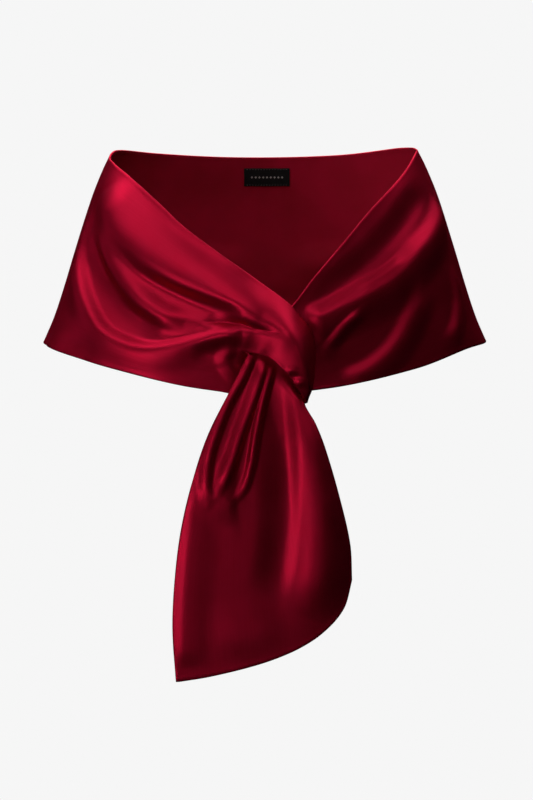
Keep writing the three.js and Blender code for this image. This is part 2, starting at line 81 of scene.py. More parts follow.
@dataclass(frozen=True)
class Spline:
    """Smooth curve through rows of numbers at rising knots."""

    knots: Array
    rows: Array

    @cached_property
    def slopes(self) -> Array:
        """Slope of every column at each knot, from the rows on its two sides."""
        count = len(self.knots)
        before = np.maximum(np.arange(count) - 1, 0)
        after = np.minimum(np.arange(count) + 1, count - 1)
        return (self.rows[after] - self.rows[before]) / (self.knots[after] - self.knots[before])[:, None]

    def at(self, value: Array) -> Array:
        """Point on the curve.

        Args:
            value: Where the curve is read; it runs on past both ends.

        Returns:
            One row of numbers for each value, on a last axis of its own.
        """
        value = np.asarray(value, float)
        row = np.clip(np.searchsorted(self.knots, value) - 1, 0, len(self.knots) - 2)
        span = self.knots[row + 1] - self.knots[row]
        q = ((value - self.knots[row]) / span)[..., None]
        span = span[..., None]
        square, cube = q**2, q**3
        return (
            self.rows[row] * (2 * cube - 3 * square + 1)
            + self.slopes[row] * span * (cube - 2 * square + q)
            + self.rows[row + 1] * (3 * square - 2 * cube)
            + self.slopes[row + 1] * span * (cube - square)
        )


def run_of(points: Array) -> Array:
    """Length of a line of points up to each of them."""
    return np.concatenate([[0.0], np.cumsum(np.linalg.norm(np.diff(points, axis=0), axis=1))])


def path_by_length(points: Array, rows: Array) -> tuple[Spline, float]:
    """Curve through rows, read by its share of length.

    Args:
        points: Where each row lies in space.
        rows: Numbers of each row.

    Returns:
        The curve for shares 0 to 1, and its length.
    """
    run = run_of(points)
    return Spline(run / run[-1], np.asarray(rows, float)), float(run[-1])


@dataclass(frozen=True)
class Figure:
    """General figure that the strip goes round: rings of half width, front and back depth."""

    # drop below the shoulder rests, half width, depth in front, depth behind
    rings: Table = (
        (-10, 156, 61, 79),
        (0, 162, 67, 85),
        (20, 172, 81, 91),
        (50, 184, 100, 97),
        (100, 200, 116, 102),
        (150, 215, 125, 105),
        (180, 225, 128, 106),
        (206, 236, 129, 107),
        (260, 257, 130, 108),
        (290, 268, 130, 108),
    )
    # sines of the turn between which folds flatten towards the sides, and how much of them goes
    calm_from: float = 0.945
    calm_to: float = 0.99
    calm_share: float = 0.97

    @cached_property
    def sizes(self) -> Spline:
        """Ring sizes by drop."""
        table = np.array(self.rings, float)
        return Spline(table[:, 0], table[:, 1:])

    def radii(self, turn: Array, drop: Array) -> tuple[Array, Array]:
        """Half width of the ring, and its depth on the side that the turn faces."""
        half, front, back = np.moveaxis(self.sizes.at(drop), -1, 0)
        return half, np.where(np.cos(np.radians(turn)) > 0, front, back)

    def seat(self, turn: Array, drop: Array) -> Array:
        """Points on the figure.

        Args:
            turn: Degrees from the front centre, minus to the left.
            drop: Millimetres below the shoulder rests.

        Returns:
            The points in space.
        """
        half, depth = self.radii(turn, drop)
        angle = np.radians(turn)
        return np.stack([half * np.sin(angle), -depth * np.cos(angle), -drop + 0 * angle], axis=-1)

    def outward(self, turn: Array, drop: Array) -> Array:
        """Level directions straight out of the figure, of length 1."""
        half, depth = self.radii(turn, drop)
        angle = np.radians(turn)
        return unit(np.stack([np.sin(angle) * depth, -np.cos(angle) * half, 0 * angle], axis=-1))

    def turn_at(self, x: Array, drop: Array) -> Array:
        """Turn of a place across the front half."""
        half = self.sizes.at(drop)[..., 0]
        return np.degrees(np.arcsin(np.clip(x / half, -1, 1)))

    def cloth(self, turn: Array, drop: Array, forward: Array, lift: Array) -> Array:
        """Cloth on the figure.

        Args:
            turn: Degrees from the front centre.
            drop: Millimetres below the shoulder rests.
            forward: How far it stands in front of the figure.
            lift: How far its folds stand out.

        Returns:
            The points in space.
        """
        facing = 1 - self.calm_share * ease(self.calm_from, self.calm_to, np.abs(np.sin(np.radians(turn))))
        points = self.seat(turn, drop) + self.outward(turn, drop) * (lift * facing)[..., None]
        points[..., 1] -= forward
        return points


FIGURE = Figure()


def flat_seat(x: Array, drop: Array) -> Array:
    """Points on the upright plane that the tail's outline is drawn on."""
    return np.stack([x, 0 * x, -drop + 0 * x], axis=-1)


class Profile(Enum):
    """How a fold falls off on both sides of its line."""

    SOFT = "soft"
    CREASE = "crease"

    def height(self, across: Array) -> Array:
        """Share of the lift, by distance from the fold's line as a share of its reach."""
        if self is Profile.CREASE:
            return (1 - across) ** 2
        return np.cos(across * math.pi / 2) ** 2


@dataclass(frozen=True)
class Fold:
    """One ridge, or one trough where the lift is below 0.

    It runs through its places in order. Its reach may differ on the left-hand and on the right-hand
    side of that way, which makes one side steep and the other gentle. It grows in over the length
    "starts" and dies away over the length "ends".
    """

    name: str
    lift: float
    left: float
    right: float
    through: Table
    starts: float = 34
    ends: float = 34
    profile: Profile = Profile.SOFT


class FoldLine:
    """A fold laid out on its surface as short straight steps."""

    STEPS = 44
    # share of "starts" and "ends" by which a fold has already grown at the ends of its line
    EARLY = 0.35

    def __init__(self, fold: Fold, seat_of: SeatOf) -> None:
        """Lays the fold out.

        Args:
            fold: The fold.
            seat_of: Gives the point in space of each of its places.
        """
        places = np.array(fold.through, float)
        path, self.length = path_by_length(seat_of(*places.T), places)
        self.fold = fold
        self.points = seat_of(*path.at(np.linspace(0, 1, self.STEPS + 1)).T)

    def lift_at(self, seats: Array, outward: Array) -> Array:
        """Lift of the fold.

        Args:
            seats: Points of the surface before it is folded.
            outward: Directions out of that surface.

        Returns:
            Millimetres that each point is lifted.
        """
        reach = max(self.fold.left, self.fold.right)
        low, high = self.points.min(0) - reach, self.points.max(0) + reach
        near = ((seats >= low) & (seats <= high)).all(-1)
        lift = np.zeros(seats.shape[:-1])
        lift[near] = self._lift_near(seats[near], outward[near])
        return lift

    def _lift_near(self, seats: Array, outward: Array) -> Array:
        """Lift of the fold at points round its line.

        Args:
            seats: Points, one in each row.
            outward: Directions out of the surface there.

        Returns:
            Millimetres that each point is lifted.
        """
        starts, steps = self.points[:-1], np.diff(self.points, axis=0)
        squares = np.sum(steps**2, axis=1)
        ahead = seats @ steps.T - np.sum(starts * steps, axis=1)
        shares = np.clip(ahead / squares, 0, 1)
        apart = np.sum(seats**2, axis=1)[:, None] - 2 * seats @ starts.T + np.sum(starts**2, axis=1)
        closest = np.argmin(apart - 2 * shares * ahead + shares**2 * squares, axis=1)
        share = shares[np.arange(len(seats)), closest]
        step = steps[closest]
        away = seats - starts[closest] - share[:, None] * step
        nearest = np.linalg.norm(away, axis=1)
        run = (closest + share) / self.STEPS
        side = np.sum(np.cross(unit(step), away) * outward, axis=1)
        to_left = 0.5 + 0.5 * side / np.maximum(nearest, TINY)
        reach = lerp(self.fold.right, self.fold.left, np.clip(to_left, 0, 1))
        height = self.fold.profile.height(np.clip(nearest / reach, 0, 1))
        from_start = run * self.length
        from_end = (1 - run) * self.length
        grown = ease(-self.EARLY * self.fold.starts, self.fold.starts, from_start)
        left_over = ease(-self.EARLY * self.fold.ends, self.fold.ends, from_end)
        return self.fold.lift * height * grown * left_over


class FoldSet:
    """Folds that share a surface."""

    def __init__(self, seat_of: SeatOf, *folds: Fold) -> None:
        """Lays the folds out.

        Args:
            seat_of: Gives the point in space of each of their places.
            *folds: The folds.
        """
        self.lines = [FoldLine(fold, seat_of) for fold in folds]

    def lift_at(self, seats: Array, outward: Array) -> Array:
        """Lift of all folds together, at points of the surface before it is folded."""
        return sum((line.lift_at(seats, outward) for line in self.lines), np.zeros(seats.shape[:-1]))


LEFT_FOLDS = FoldSet(
    FIGURE.seat,
    Fold("edge that turns back", -3.2, 10, 24,
         ((-60, 26), (-45, 47), (-32, 73), (-20, 101), (-10, 126)), starts=60, ends=40),
    Fold("upper roll", 7.6, 40, 24, ((-66, 44), (-51, 88), (-29, 131), (-10, 162), (-1, 180), (5, 200)),
         ends=50),
    Fold("middle ridge", 4.5, 18, 16,
         ((-63, 84), (-52, 116), (-41, 149), (-29, 180), (-21, 190)), starts=40, ends=24),
    Fold("long ridge", 6.5, 11, 34,
         ((-75, 66), (-75, 98), (-71, 122), (-64, 146), (-56.8, 168), (-47, 195), (-37.6, 210),
          (-29.4, 216), (-22.3, 213), (-15.7, 207), (-10.7, 202), (-5.7, 200)), starts=30, ends=16),
    Fold("hollow inside the long ridge", -6.5, 17, 34,
         ((-68, 92), (-59, 124), (-48, 156), (-37, 183), (-27, 196)), starts=44, ends=30),
    Fold("hollow under the upper roll", -5, 15, 22,
         ((-38, 138), (-29, 153), (-20, 166), (-12, 176), (-6, 184)), starts=34, ends=18),
    Fold("crease below the upper roll", -4.5, 10, 7,
         ((-16, 188), (-10, 188.5), (-6, 190.5), (-2.5, 195), (1, 198), (4, 200)),
         starts=14, ends=30, profile=Profile.CREASE),
    Fold("hollow at the slit", -3.5, 14, 16, ((-18, 222), (-9, 214), (-5, 215)), starts=16, ends=10),
    Fold("pucker at the slit", 2.6, 9, 13, ((-6.5, 214), (-9.5, 223), (-8.8, 234), (-6.2, 245)),
         starts=16, ends=16),
    Fold("hem flare", 10, 58, 12, ((-78, 222), (-70, 226), (-61, 231), (-50, 239)), starts=50, ends=60),
)
RIGHT_FOLDS = FoldSet(
    FIGURE.seat,
    Fold("main ridge", 7.5, 36, 19,
         ((83, 30), (80, 54), (72, 73), (62.8, 91), (50.8, 114), (42.2, 134), (33, 153), (24, 168),
          (17.7, 178), (11, 187)), starts=26, ends=14),
    Fold("trough above it", -3, 16, 24, ((66, 44), (53, 71), (36, 112), (21.7, 148), (10.9, 176))),
    Fold("split off the main ridge", 1.6, 8, 5, ((43, 119), (37.5, 131), (31, 143), (26, 151)),
         starts=14, ends=14),
    Fold("short ridge", 3.5, 12, 7, ((26, 176), (20.8, 191), (17.6, 204), (15, 216)), starts=12, ends=16),
    Fold("lower ridge", 4.5, 24, 16,
         ((50, 146), (46, 167), (41.9, 184), (36.6, 205), (32, 221), (25.5, 238), (18, 250)),
         starts=30, ends=20),
    Fold("side swell", 3.5, 18, 12, ((71, 124), (69.3, 150), (66.4, 169), (60, 192), (53, 209)),
         starts=30, ends=26),
)
BACK_FOLDS = FoldSet(
    FIGURE.seat,
    Fold("sag below the left shoulder", -5, 24, 30, ((-100, 62), (-122, 96), (-150, 116), (-176, 122))),
    Fold("sag below the right shoulder", -5, 30, 24, ((-260, 58), (-240, 92), (-214, 112), (-188, 120))),
    Fold("low ridge", 5, 18, 30, ((-108, 118), (-134, 148), (-166, 164), (-200, 162), (-232, 146))),
    Fold("low trough", -3, 20, 16, ((-112, 168), (-150, 188), (-190, 192), (-226, 182))),
    Fold("left shoulder pull", 3, 14, 20, ((-96, 26), (-112, 60), (-128, 92))),
    Fold("right shoulder pull", 3, 20, 14, ((-264, 24), (-248, 58), (-234, 88))),
)
BAND_FOLDS = FoldSet(
    flat_seat,
    Fold("first wrinkle at the lip", 2, 5, 6, ((22, 239), (28, 237), (35, 239)), starts=5, ends=9),
    Fold("second wrinkle at the lip", 2, 5, 6, ((31, 252), (36, 249.5), (42, 250)), starts=5, ends=8),
    Fold("groove between them", -1.4, 4, 4, ((26, 245), (31, 243.5), (37, 245)), starts=5, ends=8),
)
TAIL_FOLDS = FoldSet(
    flat_seat,
    Fold("left pleat", 5, 7, 12,
         ((-11, 219), (-24, 247), (-37, 271), (-48, 299), (-56, 325), (-59, 350), (-57, 372)),
         starts=14, ends=26),
    Fold("second pleat", 5.6, 7, 13,
         ((3, 223), (-6, 253), (-16, 280), (-25, 305), (-33, 331), (-42, 352), (-50, 366)),
         starts=14, ends=44),
    Fold("third pleat", 5, 7, 6,
         ((10, 225), (3, 250), (-3.5, 274), (-9.5, 304), (-14, 332), (-21, 356), (-33, 372)),
         starts=14, ends=50),
    Fold("pleats run out", 2.6, 15, 32, ((-62, 346), (-50, 364), (-37, 370), (-22, 360))),
    Fold("centre trough", -5, 18, 32, ((12, 236), (17, 268), (20, 308), (21, 349), (20, 390), (16, 431),
         (8, 472)), starts=20, ends=40),
    Fold("swell below the pleats", 3.6, 12, 24,
         ((-33, 322), (-38, 346), (-39, 372), (-34, 398)), starts=24, ends=36),
    Fold("right pleat", 8.2, 40, 34, ((18, 233), (26, 247), (38, 276), (48, 308), (56, 349), (60, 390),
         (59, 431), (53, 463), (42, 490)), starts=20, ends=50),
    Fold("left edge curl", 3.2, 34, 14, ((-66, 330), (-72, 370), (-78, 431), (-82, 492), (-83, 541)),
         starts=40, ends=20),
    Fold("end swell", 2.4, 40, 34, ((-60, 508), (-15, 506), (20, 492))),
)


@dataclass(frozen=True)
class Stretch:
    """One stretch of the strip, between edges that are rows of turn and drop.

    "along" is the share of the edges' length, and "across" that of the width, from the top edge.
    """

    top: Table
    hem: Table

    @cached_property
    def edges(self) -> tuple[Spline, ...]:
        """Top edge and hem, by their share of length."""
        tables = [np.array(table, float) for table in (self.top, self.hem)]
        return tuple(path_by_length(FIGURE.seat(*rows.T), rows)[0] for rows in tables)

    def seats(self, along: Array, across: Array) -> tuple[Array, Array]:
        """Turn and drop of places between both edges."""
        top, hem = (edge.at(along) for edge in self.edges)
        return tuple(np.moveaxis(lerp(top, hem, across[..., None]), -1, 0))

    def folded(self, along: Array, across: Array, forward: Array, *sets: FoldSet) -> Array:
        """Cloth on the figure, with sets of folds, and as far forward of it as given."""
        turn, drop = self.seats(along, across)
        return FIGURE.cloth(turn, drop, forward, lift_on_figure(turn, drop, *sets))


def with_turns(table: Table, *columns: int) -> Array:
    """Rows of a table.

    Args:
        table: Rows of numbers.
        *columns: Columns of x, each with its drop in the column after it.

    Returns:
        The rows, with a turn in place of each x.
    """
    rows = np.array(table, float)
    for column in columns:
        rows[:, column] = FIGURE.turn_at(rows[:, column], rows[:, column + 1])
    return rows


def lift_on_figure(turn: Array, drop: Array, *sets: FoldSet) -> Array:
    """Lift of several sets of folds at places of the figure."""
    seats, outward = FIGURE.seat(turn, drop), FIGURE.outward(turn, drop)
    return sum(folds.lift_at(seats, outward) for folds in sets)


def lift_in_front(folds: FoldSet, seats: Array) -> Array:
    """Lift of a set of folds at points of the upright plane in front."""
    return folds.lift_at(seats, np.broadcast_to(np.array([0.0, -1.0, 0.0]), seats.shape))


@dataclass(frozen=True)
class Back(Stretch):
    """Stretch over the shoulder blades, from the left side round to the right side."""

    top: Table = (
        (-90, 4.5), (-97, 0.6), (-111, -1.6), (-133, -0.7), (-170, 1.4), (-208, 0), (-242, -4.4),
        (-261, -2.8), (-270, 0.2),
    )
    hem: Table = ((-90, 205), (-135, 211), (-180, 217), (-225, 211), (-270, 204))

    def places(self, along: Array, across: Array) -> Array:
        """Cloth of the back, from the left side to the right side."""
        return self.folded(along, across, 0, BACK_FOLDS, LEFT_FOLDS, RIGHT_FOLDS)

    def inside_at(self, x: Array, drop: Array) -> Array:
        """Points on the middle of the back's cloth, found by their x and drop."""
        turn = -180 - FIGURE.turn_at(x, drop)
        return FIGURE.cloth(turn, drop, 0, lift_on_figure(turn, drop, BACK_FOLDS))


@dataclass(frozen=True)
class LeftFront(Stretch):
    """Left front with the slit near its end, the band above the slit and the finger below it."""

    # place of the slit as a share of the width, how far the front stands off the figure, and the share
    # of its length over which it comes to do so
    slit_at: float = 0.6
    stands: float = 3
    stands_over: tuple[float, float] = (0.3, 0.8)
    top: Table = (
        (-90, 4.5), (-81, 10.6), (-70, 17), (-55, 31.5), (-38.4, 59), (-25.3, 89.7), (-14.8, 114),
        (-5.6, 136.5), (0.9, 153.8),
    )
    hem: Table = ((-90, 205), (-67, 213), (-39.6, 234.6), (-20, 252), (-10, 258.6))
    # share of the width, how far the cloth rolls forward there where the slit starts
    roll: Table = (
        (0, 0), (0.2, 9.6), (0.34, 14), (0.44, 12.6), (0.52, 9.5), (0.6, 5), (0.75, -3), (1, -4),
    )
    # share of the length from which it grows, and how much faster it grows at first
    roll_from: float = 0.7
    roll_early: float = 1.4
    # band: x, drop and y of its outer edge, y of its crown, x, drop and y of its lip
    band: Table = (
        (9.6, 158, -130.5, -151.5, -16, 218.2, -142),
        (17, 163.6, -131, -153, -8, 219.9, -146),
        (28, 173, -131, -155, 0, 221.8, -149.5),
        (37.1, 183.9, -131.5, -157, 8.5, 226.2, -152.5),
        (45.7, 195.4, -132, -158.6, 15, 232, -155),
        (49.8, 209, -134, -160, 21.5, 238.8, -156),
        (50.9, 224, -136, -159, 29, 248.4, -155),
        (50.3, 238, -139, -156.5, 34.5, 256.5, -153.5),
        (49, 249, -142, -153.5, 38.8, 263, -151),
        (47.2, 257.5, -144, -150, 41.4, 267.4, -148),
        (44.6, 264, -137, -138.5, 42.4, 269.6, -137.5),
        (44, 265, -128.5, -128.5, 42.2, 270.2, -128.5),
        (41, 263.5, -124.1, -124.1, 39, 271, -124.1),
        (32, 263.5, -123.9, -123.9, 30, 271.2, -123.9),
    )
    # share of the band's width where its crown lies, and where the roll has turned into the arch
    crown_at: float = 0.52
    arched_by: float = 1.3
    # finger: x and drop of its lip, x and drop of its hem
    finger: Table = (
        (-2.6, 233, -20, 263.4), (16, 249, 6, 267.6), (27, 256.6, 22, 270.2), (36, 261, 33.5, 271.8),
    )
    # y of the finger, and where it has come down to it
    finger_behind: float = -127
    finger_opens_by: float = 1.15
    # where along the band the folds of the front begin to leave it, and where they have left it
    folds_leave: tuple[float, float] = (1.1, 1.5)

    @cached_property
    def roll_curve(self) -> Spline:
        """Roll by share of the width."""
        rows = np.array(self.roll, float)
        return Spline(rows[:, 0], rows[:, 1:])

    def rolled_y(self, turn: Array, drop: Array, across: Array) -> Array:
        """The y of the cloth as it is rolled where the slit starts."""
        return FIGURE.seat(turn, drop)[..., 1] - self.stands - self.roll_curve.at(across)[..., 0]

    def slit_start(self, across: float) -> tuple[float, float]:
        """Turn and drop of a place on the line across the strip where the slit starts."""
        turn, drop = self.seats(np.array(1.0), np.array(across))
        return float(turn), float(drop)

    @cached_property
    def band_path(self) -> Spline:
        """Sections of the band, by its share of length."""
        start = []
        for across in (0, self.crown_at * self.slit_at, self.slit_at):
            place = self.slit_start(across)
            start.append((*place, float(self.rolled_y(*np.array([*place, across])))))
        edge, crown, lip = start
        rows = np.vstack([[*edge, crown[2], *lip], with_turns(self.band, 0, 4)])
        middle = FIGURE.seat((rows[:, 0] + rows[:, 4]) / 2, (rows[:, 1] + rows[:, 5]) / 2)
        middle[:, 1] = (rows[:, 2] + rows[:, 6]) / 2
        return path_by_length(middle, rows)[0]

    @cached_property
    def finger_path(self) -> Spline:
        """Sections of the finger, by its share of length."""
        start = [*self.slit_start(self.slit_at), *self.slit_start(1)]
        rows = np.vstack([start, with_turns(self.finger, 0, 2)])
        middle = FIGURE.seat(*(rows[:, :2] + rows[:, 2:]).T / 2)
        return path_by_length(middle, rows)[0]

    def places(self, along: Array, across: Array) -> Array:
        """Cloth between the left side and the slit's start.

        Args:
            along: 0 at the side and 1 where the slit starts.
            across: 0 at the top edge and 1 at the hem.

        Returns:
            The points in space.
        """
        grown = np.clip((along - self.roll_from) / (1 - self.roll_from), 0, 1)
        growth = grown**2 * (1 + self.roll_early * (1 - grown))
        forward = self.stands * ease(*self.stands_over, along) + self.roll_curve.at(across)[..., 0] * growth
        return self.folded(along, across, forward, LEFT_FOLDS, BACK_FOLDS)

    def band_places(self, along: Array, across: Array) -> Array:
        """Cloth of the band, arched between its outer edge and its lip.

        Args:
            along: 1 where the slit starts and 2 at the tip.
            across: 0 at the top edge and the slit's share at the lip.

        Returns:
            The points in space.
        """
        share = across / self.slit_at
        rows = np.moveaxis(self.band_path.at(along - 1), -1, 0)
        edge_turn, edge_drop, edge_y, crown_y, lip_turn, lip_drop, lip_y = rows
        turn = lerp(edge_turn, lip_turn, share)
        drop = lerp(edge_drop, lip_drop, share)
        above = share < self.crown_at
        rising = np.sin(math.pi / 2 * share / self.crown_at)
        falling = np.cos(math.pi / 2 * (share - self.crown_at) / (1 - self.crown_at))
        base = np.where(above, edge_y, lip_y)
        arched = base + (crown_y - base) * np.where(above, rising, falling)
        points = FIGURE.seat(turn, drop)
        points[..., 1] = lerp(self.rolled_y(turn, drop, across), arched, ease(1, self.arched_by, along))
        points[..., 1] -= lift_in_front(BAND_FOLDS, flat_seat(points[..., 0], drop))
        lift = lift_on_figure(turn, drop, LEFT_FOLDS) * (1 - ease(*self.folds_leave, along))
        return points + FIGURE.outward(turn, drop) * lift[..., None]

    def finger_places(self, along: Array, across: Array) -> Array:
        """Cloth of the finger, which passes behind the tail.

        Args:
            along: 1 where the slit starts and 2 at the tip.
            across: The slit's share at its lip and 1 at the hem.

        Returns:
            The points in space.
        """
        share = (across - self.slit_at) / (1 - self.slit_at)
        lip_turn, lip_drop, hem_turn, hem_drop = np.moveaxis(self.finger_path.at(along - 1), -1, 0)
        turn = lerp(lip_turn, hem_turn, share)
        drop = lerp(lip_drop, hem_drop, share)
        opened = ease(1, self.finger_opens_by, along)
        points = FIGURE.seat(turn, drop)
        points[..., 1] = lerp(self.rolled_y(turn, drop, across), self.finger_behind, opened)
        lift = lift_on_figure(turn, drop, LEFT_FOLDS) * (1 - opened)
        return points + FIGURE.outward(turn, drop) * lift[..., None]


@dataclass(frozen=True)
class RightFront(Stretch):
    """Right front, gathered at its end, and the tail that hangs from its gathers."""

    top: Table = (
        (90, 0.2), (78, 4.4), (66.5, 14.7), (52, 36), (38, 63.7), (28, 91.7), (14.8, 138),
        (7.2, 171.7), (-2.3, 207.5),
    )
    hem: Table = ((90, 204), (63, 213), (39.2, 234.6), (18.9, 252.3), (9.4, 258.2))
    # how far it lies behind the left front, how far its gathered edge and hem stand forward, and the
    # shares of its length over which it comes to do so
    passes: float = -3
    gather_top: float = 4
    gather_hem: float = 9
    passes_over: tuple[float, float] = (0.4, 0.8)
    gathers_over: tuple[float, float] = (0.8, 1)
    # tail: x and drop along its left edge, its right edge and its end
    tail_left: Table = (
        (-16, 220), (-34.2, 257), (-57.6, 304.4), (-73.9, 353.3), (-85.2, 402.2), (-91.3, 451.2),
        (-93.6, 500), (-90.2, 555.1),
    )
    tail_right: Table = (
        (39.7, 271.2), (51, 292.2), (60.6, 316.6), (74.9, 365.6), (86.1, 414.5), (88.1, 451.2),
    )
    tail_end: Table = (
        (-54.6, 549), (-6.7, 536.8), (26, 524.6), (48.4, 512.3), (63.7, 500.1), (74.9, 487.9), (82, 475.6),
    )
    # tail: share of its length by which it has dropped clear, its y there, how far its middle stands
    # forward and its end swings back, and the shares of its length over which they do so
    throat: float = 0.3
    hangs_at: float = -148
    bow: float = 5
    end_back: float = 5
    bows_over: tuple[float, float] = (0.1, 0.5)
    swings_over: tuple[float, float] = (0.5, 1)
    # share of the tail's length over which its pleats grow out of the gathers
    pleats_by: float = 0.07

    def places(self, along: Array, across: Array) -> Array:
        """Cloth between the right side and the gathers.

        Args:
            along: 0 at the side and 1 at the gathers.
            across: 0 at the top edge and 1 at the hem.

        Returns:
            The points in space.
        """
        passing = self.passes * ease(*self.passes_over, along)
        gathered = lerp(self.gather_top, self.gather_hem, across)
        forward = lerp(passing, gathered, ease(*self.gathers_over, along))
        return self.folded(along, across, forward, RIGHT_FOLDS, BACK_FOLDS)

    def gather_seats(self, across: Array) -> tuple[Array, Array]:
        """Turn and drop on the line of the gathers."""
        return self.seats(np.ones_like(across), across)

    def gather_points(self, across: Array) -> Array:
        """Rows of x and drop on the line of the gathers."""
        turn, drop = self.gather_seats(across)
        return np.stack([FIGURE.seat(turn, drop)[..., 0], drop], axis=-1)

    @cached_property
    def tail_edges(self) -> tuple[Spline, ...]:
        """Left edge, right edge and end of the tail, by their share of length."""
        first, last = self.gather_points(np.array([0.0, 1.0]))
        left = np.vstack([first, self.tail_left])
        right = np.vstack([last, self.tail_right])
        end = np.vstack([self.tail_left[-1], self.tail_end, self.tail_right[-1]])
        return tuple(path_by_length(flat_seat(*rows.T), rows)[0] for rows in (left, right, end))

    def tail_places(self, along: Array, across: Array) -> Array:
        """Cloth of the tail, stretched between its four edges.

        Args:
            along: 1 at the gathers and 2 at its end.
            across: 0 at its left edge and 1 at its right.

        Returns:
            The points in space.
        """
        run = along - 1
        left, right, end = self.tail_edges
        share, part = across[..., None], run[..., None]
        sides = lerp(left.at(run), right.at(run), share)
        ends = lerp(self.gather_points(across), end.at(across), part)
        first, last = self.gather_points(np.array([0.0, 1.0]))
        corners = lerp(lerp(first, last, share), lerp(left.at(1), right.at(1), share), part)
        x, drop = np.moveaxis(sides + ends - corners, -1, 0)
        gather_y = FIGURE.seat(*self.gather_seats(across))[..., 1]
        gather_y = gather_y - lerp(self.gather_top, self.gather_hem, across)
        hangs = self.hangs_at - self.bow * np.sin(math.pi * across) * ease(*self.bows_over, run)
        hangs = hangs + self.end_back * ease(*self.swings_over, run)
        y = lerp(gather_y, hangs, ease(0, self.throat, run))
        seats = flat_seat(x, drop)
        pleated = ease(0, self.pleats_by, run)
        pleats = lift_in_front(TAIL_FOLDS, seats) * pleated
        turn = FIGURE.turn_at(x, drop)
        kept = lift_on_figure(turn, drop, RIGHT_FOLDS) * (1 - pleated)
        points = np.stack([x, y - pleats, -drop], axis=-1)
        return points + FIGURE.outward(turn, drop) * kept[..., None]


@dataclass
class MidSurface:
    """Middle of a cloth wall: points, four-sided faces seen from outside, and one edge loop."""

    points: Array
    faces: Array
    loop: Array
    cut: Array
    thick: Array
    rounding: Array

    def normals(self) -> Array:
        """Direction out of the cloth at each point."""
        corners = self.points[self.faces]
        face_normals = np.cross(corners[:, 2] - corners[:, 0], corners[:, 3] - corners[:, 1])
        sums = np.zeros_like(self.points)
        for corner in range(4):
            np.add.at(sums, self.faces[:, corner], face_normals)
        return unit(sums)

    def shell(self, name: str, rim_steps: int) -> bpy.types.Object:
        """Closed wall round the middle, with rounded rims.

        Args:
            name: Name of the object.
            rim_steps: Faces across a rim.

        Returns:
            The object. Its faces have material 0 outside and on the rims, and 1 inside.
        """
        count = len(self.points)
        normals = self.normals()
        half = (self.thick / 2)[:, None]
        loop_normals = normals[self.loop]
        ahead = np.roll(self.points[self.loop], -1, axis=0) - np.roll(self.points[self.loop], 1, axis=0)
        away = unit(np.cross(unit(ahead), loop_normals)) * self.rounding[self.loop][:, None]
        rims = []
        for step in range(1, rim_steps):
            angle = math.pi * step / rim_steps
            reach = loop_normals * math.cos(angle) + away * math.sin(angle)
            rims.append(self.points[self.loop] + reach * half[self.loop])
        outside = self.points + normals * half
        inside = self.points - normals * half
        points = np.vstack([outside, inside, *rims])
        cut = np.vstack([self.cut, self.cut, *([self.cut[self.loop]] * (rim_steps - 1))])
        starts = 2 * count + np.arange(rim_steps - 1) * len(self.loop)
        tracks = [self.loop, *(start + np.arange(len(self.loop)) for start in starts), self.loop + count]
        rim_faces = [
            np.stack([near, far, np.roll(far, -1), np.roll(near, -1)], axis=1)
            for near, far in zip(tracks, tracks[1:])
        ]
        faces = np.vstack([self.faces, *rim_faces, self.faces[:, ::-1] + count])
        finishes = np.zeros(len(faces), np.int32)
        finishes[-len(self.faces):] = 1
        return mesh_object(name, points * MM, faces, cut * MM, finishes)


def mesh_object(
    name: str, points: Array, faces: Array, cut: Array, finishes: Array
) -> bpy.types.Object:
    """Smooth mesh of four-sided faces.

    Args:
        name: Name of the object.
        points: Its points, in metres.
        faces: Four point numbers for each face.
        cut: Where each point lies on the flat cloth, in metres.
        finishes: Material number of each face.

    Returns:
        The object, in the scene.
    """
    mesh = bpy.data.meshes.new(name)
    mesh.from_pydata(points.tolist(), [], faces.tolist())
    mesh.polygons.foreach_set("material_index", finishes.astype(np.int32))
    mesh.shade_smooth()
    layer = mesh.uv_layers.new(name="cut")
    layer.uv.foreach_set("vector", cut[faces.ravel()].astype(np.float32).ravel())
    mesh.validate()
    piece = bpy.data.objects.new(name, mesh)
    bpy.context.scene.collection.objects.link(piece)
    return piece


def grid_faces(numbers: Array) -> Array:
    """Four point numbers for each face of a grid, from its point numbers by column and row."""
    corners = [numbers[:-1, :-1], numbers[1:, :-1], numbers[1:, 1:], numbers[:-1, 1:]]
    return np.stack(corners, axis=-1).reshape(-1, 4)


def grid_loop(numbers: Array) -> Array:
    """Point numbers on the edge of a grid, in order."""
    return np.concatenate([numbers[:-1, 0], numbers[-1, :-1], numbers[:0:-1, -1], numbers[0, :0:-1]])


